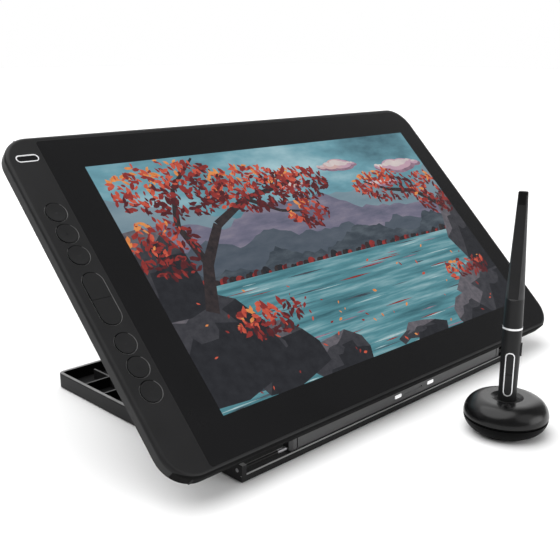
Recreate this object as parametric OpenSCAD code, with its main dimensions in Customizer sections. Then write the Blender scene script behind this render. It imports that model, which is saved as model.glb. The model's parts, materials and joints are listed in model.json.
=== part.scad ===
// Pen display: a flat tablet with a screen and a column of keys, on a tilting stand,
// with its pen standing in a round holder in front of it.
// X runs along the tablet, Y to the back and Z up. The desk is at Z = 0.

/* [Tablet] */
// Width of the tablet
tablet_w = 378.3; // [350:0.1:410]
// Height of the tablet along its face
tablet_h = 226.8; // [215:0.1:245]
// Thickness of the tablet
tablet_t = 12.2; // [11.8:0.1:15]
// Radius of the corners seen from the front
corner_r = 19; // [14:0.5:24]
// Radius of the front edge
edge_r = 2.6; // [1.2:0.1:3]
// Width of the chamfer round the back
back_chamfer = 4.3; // [3.4:0.1:4.6]
// Wall of both shells
shell_wall = 1.8; // [1.4:0.1:2]
// Lean of the tablet above the desk, in degrees
tilt = 44.5; // [38:0.5:52]

/* [Screen] */
// Left edge of the tablet to the glass
glass_left = 23.7; // [22:0.1:30]
// Rim above the glass
rim_top = 4.3; // [3.2:0.1:8]
// Rim below the glass
rim_bottom = 2.8; // [2.6:0.1:8]
// Rim at the right of the glass
rim_right = 3; // [2.6:0.1:8]
// Thickness of the cover glass
glass_t = 1.1; // [0.7:0.1:1.4]
// Radius of the glass's two left corners
glass_r = 2.2; // [1:0.1:6]
// Width of the ledge that carries the glass
glass_ledge = 1.6; // [1:0.1:3]
// Height of the picture area
picture_h = 174.3; // [160:0.1:178]
// Left edge of the tablet to the picture area
picture_left = 46.6; // [44:0.1:52]
// Picture area to the right edge of the tablet
picture_right = 21.8; // [18:0.1:26]
// Bottom edge of the tablet to the picture area
picture_bottom = 25.9; // [24:0.1:30]
// Blind border of the display panel round its picture
panel_border = 3; // [2:0.1:5]
// Thickness of the display panel
panel_t = 1.8; // [1:0.1:2]
// Thickness of the backlight unit
backlight_t = 2.2; // [1.2:0.1:2.4]
// Thickness of the pen sensor board
sensor_t = 0.8; // [0.5:0.1:1]
// Thickness of the shield plate
shield_t = 0.4; // [0.2:0.1:0.6]

/* [Keys] */
// Diameter of the openings for the round keys
key_d = 13; // [11:0.1:13.2]
// Distance between the centres of the round keys
key_pitch = 15.1; // [15:0.1:17]
// Length of the opening for the split key
split_key_l = 34.5; // [28:0.1:38]
// Middle of the split key to the middle of a trio of round keys
trio_offset = 44.3; // [44:0.1:48]
// Left edge of the tablet to the middle of the keys
key_inset = 13.4; // [11.5:0.1:14.5]
// Middle of the key column above the tablet's bottom edge
key_middle = 111.5; // [105:0.1:120]
// Gap round a key
key_gap = 0.25; // [0.15:0.05:0.4]
// Height of a key above the front face
key_proud = 0.3; // [0:0.05:0.6]
// Travel of a key
key_travel = 0.5; // [0.3:0.05:0.7]
// Length of the status ring
status_l = 14.4; // [10:0.1:16]
// Width of the status ring
status_w = 5.2; // [4:0.1:6]
// Status ring above the tablet's bottom edge
status_y = 210.7; // [205:0.1:212]

/* [Stand] */
// Width of the base tray
tray_w = 281; // [265:0.5:330]
// Depth of the base tray
tray_d = 191.4; // [182:0.1:215]
// Height of the tray's walls above the desk
tray_h = 10.5; // [9.8:0.1:10.8]
// Wall of the tray
tray_wall = 2.6; // [2:0.1:3]
// Floor of the tray
tray_floor = 1.8; // [1.2:0.1:1.9]
// Radius of the tray's two rear corners
tray_r = 4.5; // [3.5:0.1:9]
// Height of the front lip above the desk
lip_h = 4.3; // [3:0.1:4.4]
// Thickness of the front lip
lip_t = 1.6; // [1:0.1:1.8]
// Rib thickness
rib_t = 1.4; // [1:0.1:2]
// How far the ribs stay below the walls
rib_drop = 1; // [0.4:0.1:3]
// Distance between ribs
rib_pitch = 22.2; // [18:0.1:24]
// Rear of the tray to the first rib
rib_first = 29.9; // [24:0.1:32]
// Number of ribs in a side bay
rib_count = 5; // [2:1:5]
// Width of the ribbed side bays
bay_w = 23.2; // [16:0.1:26]
// Front of the tray to the hinge axis
hinge_setback = 4; // [3.9:0.1:5]
// Height of the hinge axis above the desk
hinge_z = 6.7; // [6.5:0.1:7.2]
// Diameter of the hinge rod and of the leg's pivot rod
rod_d = 2.4; // [2:0.1:3.4]
// Radius of the hinge barrel
barrel_r = 3.1; // [2.7:0.1:3.2]
// Width of the support plate
plate_w = 204; // [170:1:216]
// How much farther the ledge reaches to the right than to the left
ledge_extra = 20; // [0:1:28]
// Length of the support plate from the hinge
plate_l = 150; // [120:1:190]
// Front face of the plate above the hinge axis
plate_face = 2.7; // [2.2:0.1:3]
// Thickness of the support plate
plate_t = 3.5; // [3:0.1:4]
// Thickness of the rubber pads on the plate
plate_pad_t = 0.85; // [0.5:0.05:1.5]
// Gap between the tablet's edge and the hinge axis, along the plate
seat_lift = 1.2; // [0.8:0.1:2.5]
// Length of the prop leg and of its lever on the plate
leg_l = 92; // [80:1:94]
// Thickness of the leg's arms
leg_t = 4; // [3:0.1:6]
// Width of the leg's arms
leg_w = 6.4; // [5.6:0.1:7]
// Diameter of the foot rod
foot_rod_d = 4; // [3:0.1:4.4]
// Thickness of the rubber sleeve on the foot rod
sleeve_t = 0.6; // [0.4:0.1:0.8]
// Width of the two white ledge inserts
insert_w = 6.6; // [5:0.1:14]
// Height of the ledge inserts
insert_h = 2.3; // [1.6:0.1:4]
// Distance between the ledge inserts
insert_pitch = 35.4; // [24:0.1:50]
// Middle of the pair of inserts beside the middle of the stand
insert_offset = 15.2; // [0:0.1:24]

/* [Pen] */
// Length of the pen
pen_l = 145; // [138:0.1:165]
// Largest diameter of the pen
pen_d = 11.7; // [11:0.1:13]
// Diameter of the grip where it starts to taper to the tip
grip_d = 10.9; // [10.2:0.1:11]
// Diameter at the pen's tail
tail_d = 5.7; // [5:0.1:7]
// Tip of the pen to the chrome ring
ring_at = 62; // [58:0.1:70]
// Width of the chrome ring
ring_w = 1.2; // [0.6:0.1:2]
// Tip of the pen to the end of the long facet
facet_at = 81; // [78:0.1:92]
// Tip of the pen to the middle of its side buttons
buttons_at = 34; // [29:0.1:37]
// Length of the chrome outline of the buttons
buttons_l = 28; // [24:0.1:29]
// Width of the chrome outline of the buttons
buttons_w = 5.6; // [4.4:0.1:6.4]
// Turn of the pen about its axis, in degrees
pen_turn = -61; // [-180:1:180]

/* [Pen holder] */
// Diameter of the holder
holder_d = 51.6; // [48:0.1:64]
// Height of the holder
holder_h = 22; // [21:0.1:28]
// Thickness of the rubber foot
holder_foot_t = 0.8; // [0.5:0.1:1.2]
// Height of the seam between bowl and cover
holder_seam = 9.6; // [9:0.1:12]
// Height of the band above the seam
holder_band_h = 1.6; // [1:0.1:2]
// Tray's front to the back of the holder
holder_gap = 38; // [20:1:80]
// Holder beside the middle of the stand
holder_x = 22; // [-60:0.5:120]
// Lowest point of the pen above the desk
pen_rest = 4.5; // [4:0.1:6]

/* [Hidden] */
$fn = 64;
overcut = 1;
shell_tone = [0.16, 0.16, 0.165];
dark_tone = [0.07, 0.07, 0.075];
steel_tone = [0.62, 0.63, 0.65];
chrome_tone = [0.85, 0.86, 0.88];
board_tone = [0.05, 0.25, 0.16];
rubber_tone = [0.1, 0.1, 0.1];

// Layers of the tablet, counted from its back
front_wall = glass_t + 1;
frame_roof = tablet_t - front_wall;
glass_z = tablet_t - glass_t;
panel_z = glass_z - panel_t;
backlight_z = panel_z - backlight_t;
sensor_z = backlight_z - sensor_t;
shield_z = sensor_z - shield_t;
pocket_inset = back_chamfer + 0.4;

// Screen outline
glass_w = tablet_w - glass_left - rim_right;
glass_h = tablet_h - rim_top - rim_bottom;
glass_x = -tablet_w / 2 + glass_left;
glass_right_r = corner_r - rim_right;
picture_w = tablet_w - picture_left - picture_right;
panel_w = picture_w + 2 * panel_border;
panel_h = picture_h + 2 * panel_border;
panel_x = -tablet_w / 2 + picture_left - panel_border;
panel_y = picture_bottom - panel_border;

// Keys
key_x = -tablet_w / 2 + key_inset;
key_cap_r = key_d / 2 - key_gap;
flange_out = 0.9;
flange_t = 0.8;
dome_d = 5;
dome_t = 0.9;
stem_l = 0.6;
key_board_t = 1;
key_board_w = 16;
key_board_l = 2 * (trio_offset + key_pitch) + 22;
key_board_z = frame_roof - flange_t - stem_l - key_travel - 0.1 - dome_t - key_board_t;
status_ring_t = 0.6;
status_depth = 1.4;
key_bevel = 0.35;
dish_depth = 0.25;
dish_edge = 0.8;
main_board_w = 24;
main_board_t = 1.2;
main_board_z = 3;
main_board_inset = 34;
main_board_shift = 7;
chip_count = 4;
chip_w = 9;
chip_t = 1;
chip_first = 28;
chip_pitch = 37;

// Sockets and power key in the tablet's edge
edge_mid_z = (back_chamfer + tablet_t - edge_r) / 2;
port_w = 9;
port_h = 3.2;
port_l = 7.5;
port_wall = 0.3;
port_inset = 44;
port_pitch = 18;
port_ys = [tablet_h - port_inset - port_pitch, tablet_h - port_inset];
power_inset = 70;
power_x = tablet_w / 2 - power_inset;
power_l = 11;
power_w = 2.6;
power_proud = 0.5;

// Ribs under the display's layers and rests under the main board, in the rear shell
stack_rib_inset = 12;
stack_rib_end = 8;
stack_rib_t = 1.6;
board_rest_inset = 40;
board_rest_spread = 9;
board_rest_r = 2;

// Screws and feet on the back
screw_inset = 8.5;
screw_end_inset = corner_r - 6;
screw_d = 1.6;
screw_l = 5.5;
screw_head_d = 3.6;
screw_head_t = 1;
post_r = 2.6;
screw_xs = [-tablet_w / 2 + screw_end_inset, 0, tablet_w / 2 - screw_end_inset];
screw_ys = [screw_inset, tablet_h - screw_inset];
back_foot_l = 40;
back_foot_w = 8;
back_foot_out = 0.8;
back_foot_in = 0.6;
back_foot_inset = 36;

// Stand, whose depth and the holder's set the middle of the object
tray_bevel = 0.5;
tray_foot_out = 0.6;
tray_foot_in = 0.6;
tray_foot_r = 6;
tray_foot_inset = 14;
holder_reach = holder_gap + holder_d;
tray_y = (holder_reach - tray_d) / 2;
tray_back = tray_y + tray_d;
hinge_y = tray_y + hinge_setback;
hinge_wall = tray_wall + 0.8;
hinge_wall_l = 12;
floor_z = tray_foot_out + tray_floor;
rib_top = tray_h - rib_drop;
rib_gap = 10.5;
run_fit = 0.06;
tablet_y0 = seat_lift;
tablet_z0 = plate_face + plate_pad_t;

// Ledge nose: upright front face, top face along the tablet's chamfer
nose_inset = 0.65;
nose_front = hinge_setback - nose_inset;
nose_low = -0.8;
seat_gap = 0.3;
seat_sum = tablet_y0 + tablet_z0 + back_chamfer - seat_gap * sqrt(2);
nose_high = (seat_sum + nose_front * (cos(tilt) - sin(tilt))) / (sin(tilt) + cos(tilt));
nose_bevel = nose_front - rod_d / 2 - 0.25;
groove_w = 0.8;
groove_at = 5.2;
insert_z = nose_high - 3.2;
insert_r = 0.6;
insert_t = 2;
insert_out = 0.25;
insert_fit = 0.05;
recess_l = 16;
recess_h = 1.6;
recess_t = 0.15;
recess_shift = -2.5;
pin_hole_d = 1.3;
pin_hole_l = 1.2;
pin_hole_shift = 7.7;
lip_bevel_d = 1.1;
lip_bevel_h = 0.5;
plate_corner_r = 12;
plate_rib_x = 60;
plate_rib_h = 3;
pad_w = 160;
pad_l = 14;
pad_ys = [24, plate_l - 30];

// Prop leg: equal lever and leg keep its foot at the height of the hinge
arm_gap = 0.6;
arm_x = plate_w / 2 + arm_gap;
leg_clear = 0.35;
leg_eye_d = 2 * (tablet_z0 - leg_clear);
leg_span = 2 * (arm_x + leg_t);
pivot_y = hinge_y + leg_l * cos(tilt);
pivot_z = hinge_z + leg_l * sin(tilt);
foot_y = hinge_y + 2 * leg_l * cos(tilt);
bar_at = 0.6;
bar_t = 3;
sleeve_r = foot_rod_d / 2 + sleeve_t;
sleeve_l = 12;
rack_x = plate_w / 2 - 8;
rack_w = 9;
rack_pitch = 8;
rack_start = hinge_y + 2 * leg_l * cos(62);
rack_end = min(tray_back - tray_wall - 1, hinge_y + 2 * leg_l * cos(19) + 4);
rack_count = floor((rack_end - rack_start) / rack_pitch);
rack_gap = 0.35;
rack_top = hinge_z - sleeve_r - rack_gap;
rack_base = 0.3;

// Pen, measured from its tip
pen_r = pen_d / 2;
grip_r = grip_d / 2;
tail_r = tail_d / 2;
nib_out = 1.6;
nib_r = 0.9;
nib_l = 14;
cone_l = 10;
cone_tip_r = 1.5;
pen_bore_r = 3.1;
pen_bore_l = 40;
waist_r = pen_r - 0.4;
facet_step = 0.9;
facet_r = waist_r - facet_step;
facet_turn = -12;
facet_tail = 1.2;
tail_cap_l = 2;
tail_bevel = 0.5;
end_insert_l = 5.8;
end_insert_w = 4;
end_insert_t = 0.5;
bezel_w = 0.6;
button_gap = 0.2;
button_floor = 3.9;
button_travel = 0.35;
coil_l = 12;
coil_at = 2;
nub_at = 49;
nub_l = 8.6;
nub_w = 3;
nub_out = 0.7;
pen_board_w = 4.4;
pen_board_t = 0.8;
pen_board_l = pen_bore_l - coil_at - coil_l - 0.5;

// Holder, a ring of round section round the pen
holder_y = tray_y - holder_gap - holder_d / 2;
holder_r = holder_d / 2;
round_r = (holder_h - holder_foot_t) / 2;
round_z = holder_foot_t + round_r;
core_r = holder_r - round_r;
holder_wall = 2;
liner_r = 7.4;
liner_gap = 0.3;
liner_z = 3.4;
funnel_r = 10;
funnel_t = 1.4;
seam_gap = 0.3;
weight_t = 3;
weight_r = core_r + 1;
inner_r = liner_r + 0.6;
nib_tray_t = 2.6;
nib_ring_r = (inner_r + weight_r) / 2;
spare_count = 8;
spare_nib_r = 0.8;
spare_nib_l = 3;
weight_z = holder_foot_t + holder_wall;
nib_tray_z = weight_z + weight_t;

// Placing

module on_hinge() {
    translate([0, hinge_y, hinge_z])
        rotate([tilt, 0, 0])
            children();
}

module in_tablet() {
    on_hinge()
        translate([0, tablet_y0, tablet_z0])
            children();
}

module in_holder() {
    translate([holder_x, holder_y, 0])
        children();
}

module in_pen() {
    in_holder()
        translate([0, 0, pen_rest])
            rotate([0, 0, pen_turn])
                children();
}

// Turns a shape drawn in Y and Z into a bar along X, centred
module along_x(length) {
    rotate([90, 0, 90])
        translate([0, 0, -length / 2])
            linear_extrude(length)
                children();
}

// Outlines

module round_rect(w, h, r) {
    square([w - 2 * r, h], center = true);
    square([w, h - 2 * r], center = true);
    for (sx = [-1, 1], sy = [-1, 1])
        translate([sx * (w / 2 - r), sy * (h / 2 - r)])
            circle(r);
}

module obround(l, w) {
    square([l - w, w], center = true);
    for (s = [-1, 1])
        translate([s * (l - w) / 2, 0])
            circle(d = w);
}

// Rectangle from the origin with its own radius on the left and on the right
module glass_outline(grow) {
    w = glass_w + 2 * grow;
    h = glass_h + 2 * grow;
    rl = glass_r + grow;
    rr = glass_right_r + grow;
    translate([glass_x - grow, rim_bottom - grow]) {
        translate([rl, 0])
            square([w - rl - rr, h]);
        translate([0, rl])
            square([w / 2, h - 2 * rl]);
        translate([w / 2, rr])
            square([w / 2, h - 2 * rr]);
        for (y = [rl, h - rl])
            translate([rl, y])
                circle(rl);
        for (y = [rr, h - rr])
            translate([w - rr, y])
                circle(rr);
    }
}

// Tablet body

// Section of the tablet's border: chamfer at the back, round edge at the front
module border_section() {
    polygon([[0, 0], [corner_r - back_chamfer, 0], [corner_r, back_chamfer],
        [corner_r, tablet_t - edge_r], [corner_r - edge_r, tablet_t - edge_r],
        [corner_r - edge_r, tablet_t], [0, tablet_t]]);
    translate([corner_r - edge_r, tablet_t - edge_r])
        intersection() {
            circle(edge_r);
            square(edge_r + overcut);
        }
}

module tablet_body() {
    inner_w = tablet_w - 2 * corner_r;
    inner_h = tablet_h - 2 * corner_r;
    translate([0, tablet_h / 2, 0]) {
        translate([-inner_w / 2, -inner_h / 2, 0])
            cube([inner_w, inner_h, tablet_t]);
        for (s = [0, 180]) rotate([0, 0, s]) {
            translate([inner_w / 2, inner_h / 2, 0])
                rotate([90, 0, 0])
                    linear_extrude(inner_h)
                        border_section();
            translate([-inner_w / 2, inner_h / 2, 0])
                rotate([90, 0, 90])
                    linear_extrude(inner_w)
                        border_section();
            translate([inner_w / 2, inner_h / 2, 0])
                rotate_extrude(angle = 90)
                    border_section();
            translate([-inner_w / 2, inner_h / 2, 0])
                rotate([0, 0, 90])
                    rotate_extrude(angle = 90)
                        border_section();
        }
    }
}

module tablet_slab(z0, z1, inset) {
    translate([0, tablet_h / 2, z0])
        linear_extrude(z1 - z0)
            round_rect(tablet_w - 2 * inset, tablet_h - 2 * inset, corner_r - inset);
}

// Centre and kind of each key: round ones stand in two trios, 4 and 5 are halves
function key_y(i) =
    i <= 3 ? key_middle + trio_offset + (2 - i) * key_pitch
    : i >= 6 ? key_middle - trio_offset + (7 - i) * key_pitch
    : key_middle;
function is_half(i) = i == 4 || i == 5;

// Outline of a key's opening, less a gap, with what lies beyond the split cut away
module key_outline(i, shrink) {
    if (is_half(i)) {
        side = i == 4 ? 1 : -1;
        translate([key_x, key_middle])
            intersection() {
                rotate(90)
                    obround(split_key_l - 2 * shrink, key_d - 2 * shrink);
                translate([0, side * (split_key_l / 2 + max(key_gap, shrink) / 2)])
                    square([2 * key_d, split_key_l], center = true);
            }
    } else
        translate([key_x, key_y(i)])
            circle(key_d / 2 - shrink);
}

module key_openings() {
    for (i = [1, 2, 3, 6, 7, 8])
        key_outline(i, 0);
    translate([key_x, key_middle])
        rotate(90)
            obround(split_key_l, key_d);
}

module screw_posts() {
    for (x = screw_xs, y = screw_ys) {
        edge = y < tablet_h / 2 ? -1 : 1;
        translate([x, y, back_chamfer])
            cylinder(r = post_r, h = frame_roof - back_chamfer);
        translate([x - post_r / 2, edge < 0 ? shell_wall / 2 : y, back_chamfer])
            cube([post_r, screw_inset - shell_wall / 2, frame_roof - back_chamfer]);
    }
}

module key_board_posts() {
    post_z = key_board_z + key_board_t;
    for (sx = [-1, 1], sy = [-1, 1])
        translate([key_x + sx * (key_board_w / 2 - 2), key_middle + sy * (key_board_l / 2 - 3.4), post_z])
            cylinder(r = 1.4, h = frame_roof - post_z + 0.5);
}

// Bevel round the mouth of each key's opening
module key_bevels() {
    top_r = key_d / 2 + key_bevel;
    split_half = (split_key_l - key_d) / 2;
    round_ys = [for (i = [1, 2, 3, 6, 7, 8]) key_y(i)];
    translate([0, 0, tablet_t - key_bevel]) {
        for (y = concat(round_ys, [key_middle + split_half, key_middle - split_half]))
            translate([key_x, y, 0])
                cylinder(r1 = key_d / 2, r2 = top_r, h = key_bevel + 0.01);
        translate([key_x, key_middle + split_half, 0])
            rotate([90, 0, 0])
                linear_extrude(2 * split_half)
                    polygon([[-key_d / 2, 0], [key_d / 2, 0], [top_r, key_bevel + 0.01],
                        [-top_r, key_bevel + 0.01]]);
    }
}

module front_frame() {
    color(shell_tone)
        in_tablet()
            difference() {
                union() {
                    difference() {
                        tablet_body();
                        tablet_slab(-overcut, back_chamfer, -overcut);
                        tablet_slab(back_chamfer - overcut, frame_roof, shell_wall);
                    }
                    screw_posts();
                    key_board_posts();
                }
                translate([0, 0, glass_z])
                    linear_extrude(glass_t + overcut)
                        glass_outline(0);
                translate([0, 0, frame_roof - overcut])
                    linear_extrude(front_wall + overcut)
                        glass_outline(-glass_ledge);
                translate([0, 0, frame_roof - overcut])
                    linear_extrude(front_wall + 2 * overcut)
                        key_openings();
                key_bevels();
                translate([key_x, status_y, tablet_t - status_depth])
                    linear_extrude(status_depth + overcut)
                        obround(status_l, status_w);
                for (y = port_ys)
                    translate([tablet_w / 2 - 2 * shell_wall, y, edge_mid_z])
                        rotate([90, 0, 90])
                            linear_extrude(3 * shell_wall)
                                obround(port_w, port_h);
                translate([power_x, tablet_h - 2 * shell_wall, edge_mid_z])
                    rotate([-90, 0, 0])
                        linear_extrude(3 * shell_wall)
                            obround(power_l, power_w);
                for (x = screw_xs, y = screw_ys)
                    translate([x, y, back_chamfer - overcut])
                        cylinder(d = screw_d, h = screw_l + overcut - back_chamfer + screw_head_t + 1);
            }
}

module rear_shell() {
    stack_bottom = shield_z;
    color(shell_tone)
        in_tablet()
            difference() {
                union() {
                    difference() {
                        intersection() {
                            tablet_body();
                            translate([0, tablet_h / 2, back_chamfer / 2])
                                cube([2 * tablet_w, 2 * tablet_h, back_chamfer], center = true);
                        }
                        tablet_slab(shell_wall, back_chamfer + overcut, pocket_inset);
                    }
                    for (x = [stack_rib_inset, panel_w / 2, panel_w - stack_rib_inset])
                        translate([panel_x + x, panel_y + stack_rib_end, shell_wall / 2])
                            cube([stack_rib_t, panel_h - 2 * stack_rib_end, stack_bottom - shell_wall / 2]);
                    for (y = [board_rest_inset, tablet_h - board_rest_inset], s = [-1, 1])
                        translate([key_x + main_board_shift + s * board_rest_spread, y, shell_wall / 2])
                            cylinder(r = board_rest_r, h = main_board_z - shell_wall / 2);
                    for (x = screw_xs, y = screw_ys)
                        translate([x, y, shell_wall / 2])
                            cylinder(r = post_r, h = back_chamfer - shell_wall / 2);
                }
                for (x = screw_xs, y = screw_ys) {
                    translate([x, y, -overcut])
                        cylinder(d = screw_d, h = back_chamfer + 2 * overcut);
                    translate([x, y, -overcut])
                        cylinder(d = screw_head_d, h = screw_head_t + overcut);
                }
                back_feet_pockets();
            }
}

module back_feet_pockets() {
    translate([0, 0, -overcut])
        linear_extrude(back_foot_in + overcut)
            back_feet_outline();
}

module back_feet_outline() {
    for (sx = [-1, 1], y = [back_foot_inset / 2, tablet_h - back_foot_inset / 2])
        translate([sx * (tablet_w / 2 - back_foot_inset), y])
            obround(back_foot_l, back_foot_w);
}

module tablet_feet() {
    color(rubber_tone)
        in_tablet()
            translate([0, 0, -back_foot_out])
                linear_extrude(back_foot_out + back_foot_in)
                    back_feet_outline();
}

module shell_screws() {
    color(steel_tone)
        in_tablet()
            for (x = screw_xs, y = screw_ys)
                translate([x, y, 0]) {
                    difference() {
                        cylinder(d = screw_head_d, h = screw_head_t);
                        translate([0, 0, -overcut])
                            cylinder(d = screw_head_d / 2, h = overcut + screw_head_t / 2, $fn = 6);
                    }
                    cylinder(d = screw_d, h = screw_l);
                }
}

// Screen stack

module screen_glass() {
    color([0.03, 0.03, 0.035])
        in_tablet()
            translate([0, 0, glass_z])
                linear_extrude(glass_t)
                    glass_outline(0);
}

module stack_layer(z, t, shrink) {
    in_tablet()
        translate([panel_x + shrink, panel_y + shrink, z])
            cube([panel_w - 2 * shrink, panel_h - 2 * shrink, t]);
}

module display_panel() {
    color([0.1, 0.12, 0.16])
        stack_layer(panel_z, panel_t, 0);
}

module backlight_unit() {
    color("white")
        stack_layer(backlight_z, backlight_t, 0.5);
}

module sensor_board() {
    color(board_tone)
        stack_layer(sensor_z, sensor_t, 1);
}

module shield_plate() {
    color(steel_tone)
        stack_layer(shield_z, shield_t, 2);
}

module main_board() {
    color(board_tone)
        in_tablet()
            translate([key_x + main_board_shift - main_board_w / 2, main_board_inset, main_board_z]) {
                cube([main_board_w, tablet_h - 2 * main_board_inset, main_board_t]);
                for (i = [0 : chip_count - 1])
                    translate([(main_board_w - chip_w) / 2, chip_first + i * chip_pitch, main_board_t])
                        cube([chip_w, chip_w, chip_t]);
            }
}

module key_board() {
    color(board_tone)
        in_tablet() {
            translate([key_x - key_board_w / 2, key_middle - key_board_l / 2, key_board_z])
                cube([key_board_w, key_board_l, key_board_t]);
            for (i = [1 : 8])
                translate([key_x, key_centre(i), key_board_z + key_board_t])
                    cylinder(d = dome_d, h = dome_t);
        }
}

// Middle of a key's own cap, which differs from its row on the two halves
function key_centre(i) = key_y(i) + (i == 4 ? 1 : i == 5 ? -1 : 0) * split_key_l / 4;

module tablet_key(i) {
    cap_z = frame_roof - flange_t;
    top_z = tablet_t + key_proud;
    dish_r = key_cap_r - dish_edge;
    ball_r = (dish_r * dish_r + dish_depth * dish_depth) / (2 * dish_depth);
    dotted = i == 2 || i == 7;
    color(shell_tone)
        in_tablet() {
            difference() {
                translate([0, 0, cap_z])
                    linear_extrude(top_z - cap_z)
                        key_outline(i, key_gap);
                if (!is_half(i))
                    translate([key_x, key_y(i), top_z - dish_depth + ball_r])
                        sphere(ball_r, $fn = 96);
            }
            translate([0, 0, cap_z])
                linear_extrude(flange_t)
                    key_flange(i);
            translate([key_x, key_centre(i), cap_z - stem_l])
                cylinder(d = dome_d - 1, h = stem_l + flange_t / 2);
            if (dotted)
                translate([key_x, key_y(i), top_z - 1])
                    cylinder(r = 0.6, h = 1 - dish_depth / 4);
        }
}

module key_flange(i) {
    if (is_half(i)) {
        side = i == 4 ? 1 : -1;
        translate([key_x, key_middle])
            intersection() {
                rotate(90)
                    obround(split_key_l + 2 * flange_out, key_d + 2 * flange_out);
                translate([0, side * (split_key_l + key_gap / 2)])
                    square([2 * key_d, 2 * split_key_l], center = true);
            }
    } else
        translate([key_x, key_y(i)])
            circle(key_d / 2 + flange_out);
}

module status_ring() {
    color(chrome_tone)
        in_tablet()
            translate([key_x, status_y, tablet_t - status_depth])
                linear_extrude(status_depth + 0.15)
                    difference() {
                        obround(status_l, status_w);
                        obround(status_l - 2 * status_ring_t, status_w - 2 * status_ring_t);
                    }
}

module status_lens() {
    color(dark_tone)
        in_tablet()
            translate([key_x, status_y, tablet_t - status_depth])
                linear_extrude(status_depth - 0.3)
                    obround(status_l - 2 * status_ring_t, status_w - 2 * status_ring_t);
}

module usb_c_ports() {
    tongue_t = 0.7;
    color(steel_tone)
        in_tablet()
            for (y = port_ys)
                translate([tablet_w / 2 - 0.4 - port_l, y, edge_mid_z])
                    rotate([90, 0, 90]) {
                        linear_extrude(port_l)
                            difference() {
                                obround(port_w, port_h);
                                obround(port_w - 2 * port_wall, port_h - 2 * port_wall);
                            }
                        linear_extrude(1.5)
                            obround(port_w, port_h);
                        translate([-port_w / 3, -tongue_t / 2, 0])
                            cube([2 * port_w / 3, tongue_t, port_l - 1]);
                    }
}

module power_key() {
    stop_y = tablet_h - shell_wall;
    stop_t = 0.8;
    color(shell_tone)
        in_tablet()
            translate([power_x, stop_y, edge_mid_z])
                rotate([-90, 0, 0]) {
                    linear_extrude(shell_wall + power_proud)
                        obround(power_l - 2 * key_gap, power_w - 2 * key_gap);
                    translate([0, 0, -stop_t])
                        linear_extrude(stop_t)
                            obround(power_l + 2, power_w + 1);
                }
}

// Stand

module tray_plan(inset, front) {
    r = max(tray_r - inset, 0.5);
    w = tray_w - 2 * inset;
    d = tray_d - inset - front;
    translate([-w / 2, tray_y + front])
        square([w, d - r]);
    translate([-w / 2 + r, tray_y + front])
        square([w - 2 * r, d]);
    for (s = [-1, 1])
        translate([s * (w / 2 - r), tray_y + front + d - r])
            circle(r);
}

// Outer body of the tray, bevelled along the top of its sides and back
module tray_block() {
    body_h = tray_h - tray_bevel - tray_foot_out;
    bevel_z = tray_h - tray_bevel;
    half_w = tray_w / 2;
    translate([0, 0, tray_foot_out])
        linear_extrude(body_h)
            tray_plan(0, 0);
    translate([0, tray_back - tray_r, bevel_z])
        rotate([90, 0, 0])
            linear_extrude(tray_d - tray_r)
                polygon([[-half_w, 0], [half_w, 0], [half_w - tray_bevel, tray_bevel],
                    [tray_bevel - half_w, tray_bevel]]);
    translate([0, tray_back - tray_r, bevel_z]) {
        along_x(tray_w - 2 * tray_r)
            polygon([[-overcut, 0], [tray_r, 0], [tray_r - tray_bevel, tray_bevel], [-overcut, tray_bevel]]);
        for (s = [-1, 1])
            translate([s * (half_w - tray_r), 0, 0])
                cylinder(r1 = tray_r, r2 = tray_r - tray_bevel, h = tray_bevel);
    }
}

module side_bay() {
    rib_x = tray_w / 2 - bay_w;
    last_y = tray_back - rib_first - (rib_count - 1) * rib_pitch;
    translate([rib_x - rib_t / 2, last_y, floor_z - overcut / 2])
        cube([rib_t, tray_back - rib_gap - last_y, rib_top - floor_z + overcut / 2]);
    for (i = [0 : rib_count - 1])
        translate([rib_x, tray_back - rib_first - i * rib_pitch - rib_t / 2, floor_z - overcut / 2])
            cube([bay_w - tray_wall / 2, rib_t, rib_top - floor_z + overcut / 2]);
    translate([tray_w / 2 - hinge_wall, tray_y, floor_z - overcut / 2])
        cube([hinge_wall - tray_wall / 2, hinge_wall_l, tray_h - floor_z + overcut / 2]);
}

module base_tray() {
    color(shell_tone)
        difference() {
            union() {
                difference() {
                    tray_block();
                    translate([0, 0, floor_z])
                        linear_extrude(tray_h)
                            tray_plan(tray_wall, lip_t);
                    translate([-tray_w / 2 + hinge_wall, tray_y - overcut, lip_h])
                        cube([tray_w - 2 * hinge_wall, lip_t + 2 * overcut, tray_h]);
                    translate([0, tray_y, lip_h])
                        along_x(tray_w - 2 * hinge_wall)
                            polygon([[-lip_bevel_d, -2 * lip_bevel_h], [2 * lip_bevel_d, lip_bevel_h],
                                [-lip_bevel_d, lip_bevel_h]]);
                }
                side_bay();
                mirror([1, 0, 0])
                    side_bay();
            }
            translate([-tray_w / 2 - overcut, hinge_y, hinge_z])
                rotate([0, 90, 0])
                    cylinder(d = rod_d, h = tray_w + 2 * overcut);
            translate([0, 0, tray_foot_out - overcut])
                linear_extrude(overcut + tray_foot_in)
                    tray_feet_outline();
        }
}

module tray_feet_outline() {
    for (sx = [-1, 1], y = [tray_y + tray_foot_inset, tray_back - tray_foot_inset])
        translate([sx * (tray_w / 2 - tray_foot_inset), y])
            circle(tray_foot_r);
}

module tray_feet() {
    color(rubber_tone)
        linear_extrude(tray_foot_out + tray_foot_in)
            tray_feet_outline();
}

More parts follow.
